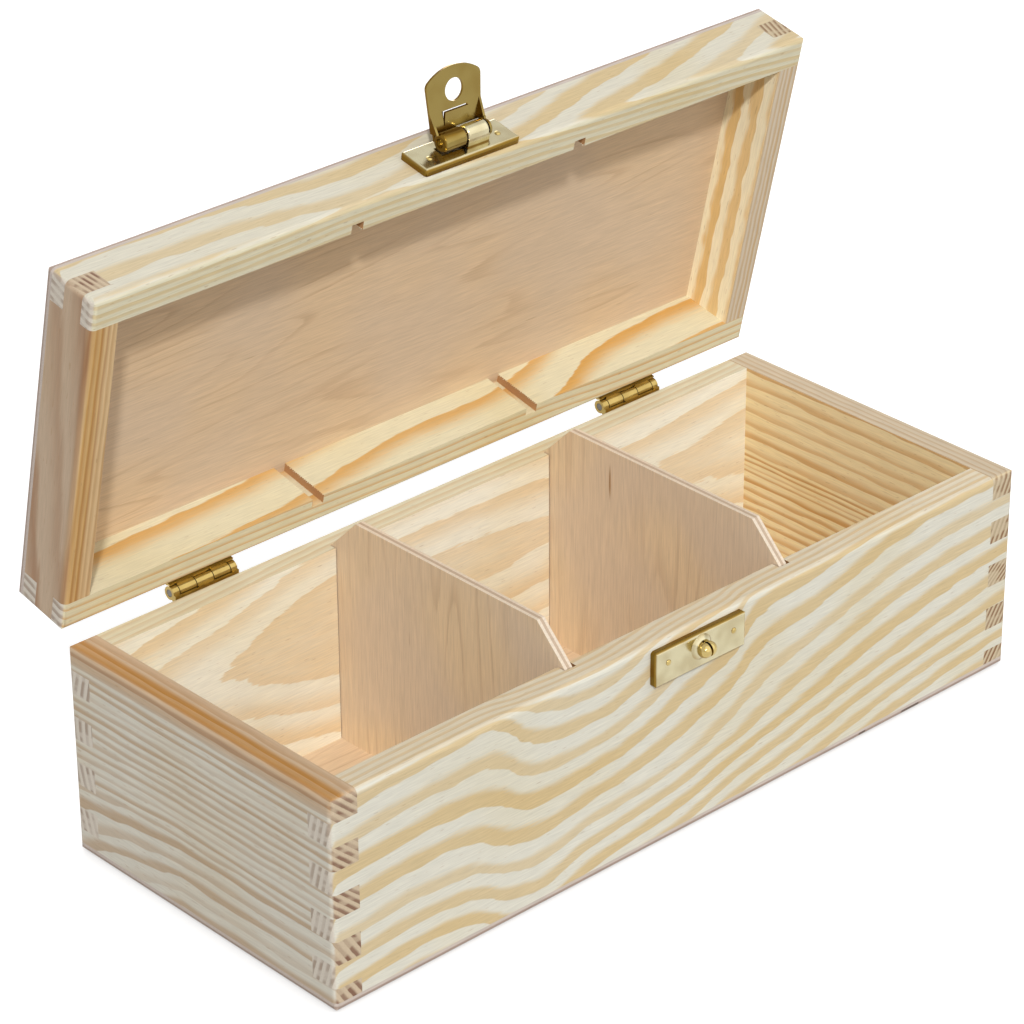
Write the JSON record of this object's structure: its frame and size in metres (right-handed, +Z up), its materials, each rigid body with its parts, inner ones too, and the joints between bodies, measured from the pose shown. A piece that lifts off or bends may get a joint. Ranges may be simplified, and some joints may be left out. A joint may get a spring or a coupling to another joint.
{
  "type": "tea bag organizer box",
  "caption": "Long finger-jointed pine box with a hinged lid, loose plywood dividers in grooves and a small brass-plated hasp on the front.",
  "frame": {"origin": "middle of the box's underside, on the face that it rests on", "axes": "+Z up; +X along the box to the right as seen from the hasp side; the hasp side faces -Y and the hinges are on the +Y side. The lid stands open at rest."},
  "size_m": [0.29, 0.1509, 0.2208],
  "materials": {
    "pine": "planed and sanded, unvarnished",
    "plywood": "sanded rotary-cut face",
    "hinge_brass": "brass-plated steel, rolled",
    "steel_pin": "drawn wire, cut ends",
    "latch_brass": "bright brass-plated stamped sheet"
  },
  "bodies": {
    "base": {"front_wall": "pine", "back_wall": "pine", "left_wall": "pine", "right_wall": "pine", "floor_panel": "plywood", "left_hinge_box_leaf": "hinge_brass", "right_hinge_box_leaf": "hinge_brass", "left_hinge_pin": "steel_pin", "right_hinge_pin": "steel_pin", "hinge_box_nails": "hinge_brass", "strike_plate": "latch_brass", "catch_button": "latch_brass", "strike_nails": "latch_brass"},
    "lid": {"lid_front_rail": "pine", "lid_back_rail": "pine", "lid_left_rail": "pine", "lid_right_rail": "pine", "lid_top_panel": "plywood", "left_hinge_lid_leaf": "hinge_brass", "right_hinge_lid_leaf": "hinge_brass", "hinge_lid_nails": "hinge_brass", "hasp_plate": "latch_brass", "hasp_pin": "latch_brass", "hasp_nails": "latch_brass"},
    "tongue": {"hasp_tongue": "latch_brass"},
    "left_divider": {"left_divider": "plywood"},
    "right_divider": {"right_divider": "plywood"}
  },
  "joints": [
    {"name": "lid_hinge", "type": "hinge", "parent": "base", "child": "lid", "pos_m": [0, 0.063, 0.07225], "axis": [-1, 0, 0], "range_deg": [-77.5, 102.5]},
    {"name": "tongue_hinge", "type": "hinge", "parent": "lid", "child": "tongue", "pos_m": [0, 0.04221, 0.19906], "axis": [-1, 0, 0], "range_deg": [-107, 43]},
    {"name": "left_divider_slide", "type": "slide", "parent": "base", "child": "left_divider", "axis": [0, 0, 1], "range_m": [0, 0.0065]},
    {"name": "right_divider_slide", "type": "slide", "parent": "base", "child": "right_divider", "axis": [0, 0, 1], "range_m": [0, 0.0065]}
  ]
}
